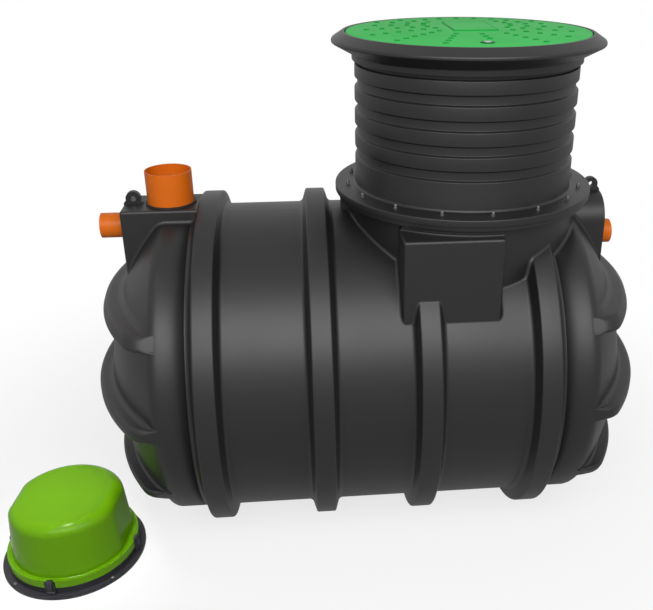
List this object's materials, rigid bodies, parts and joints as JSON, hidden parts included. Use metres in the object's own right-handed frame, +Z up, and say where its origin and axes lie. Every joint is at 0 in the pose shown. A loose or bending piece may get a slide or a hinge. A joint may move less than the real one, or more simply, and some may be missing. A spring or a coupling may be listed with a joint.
{
  "type": "packaged sewage treatment plant",
  "caption": "Ribbed horizontal black tank with dished ends, pipe stubs and lifting eyes, a round riser with a green lid, and a free-standing green blower housing.",
  "frame": {"origin": "on the ground, in the middle of the foot of the second rib from the inlet end", "axes": "+X along the tank from inlet to outlet, +Y to the back, +Z up"},
  "size_m": [2.936, 1.5359, 2.228],
  "materials": {
    "tank_black": "satin moulded polyethylene",
    "pipe_orange": "smooth drain pipe",
    "seal_rubber": "matt rubber",
    "bolt_steel": "plain stainless",
    "lid_green": "satin with anti-slip studs",
    "cover_green": "glossy moulded cover",
    "base_dark": "satin dark plastic"
  },
  "bodies": {
    "root": {"left_end": "tank_black", "rib_1": "tank_black", "bay_1": "tank_black", "rib_2": "tank_black", "bay_2": "tank_black", "rib_3": "tank_black", "bay_3": "tank_black", "rib_4": "tank_black", "right_end": "tank_black", "neck": "tank_black", "front_box": "tank_black", "back_box": "tank_black", "inlet_box": "tank_black", "outlet_boss": "tank_black", "left_eye": "tank_black", "right_eye": "tank_black", "neck_gusset": "tank_black", "neck_flange": "tank_black", "riser": "tank_black", "lid_frame": "tank_black", "inlet_pipe": "pipe_orange", "outlet_pipe": "pipe_orange", "inspection_pipe": "pipe_orange", "inlet_seal": "seal_rubber", "outlet_seal": "seal_rubber", "inspection_seal": "seal_rubber", "flange_bolts": "bolt_steel", "lid": "lid_green", "lid_lock": "bolt_steel", "blower_base": "base_dark", "blower_cover": "cover_green", "clip_1": "base_dark", "clip_2": "base_dark", "clip_3": "base_dark", "clip_4": "base_dark"}
  },
  "joints": []
}
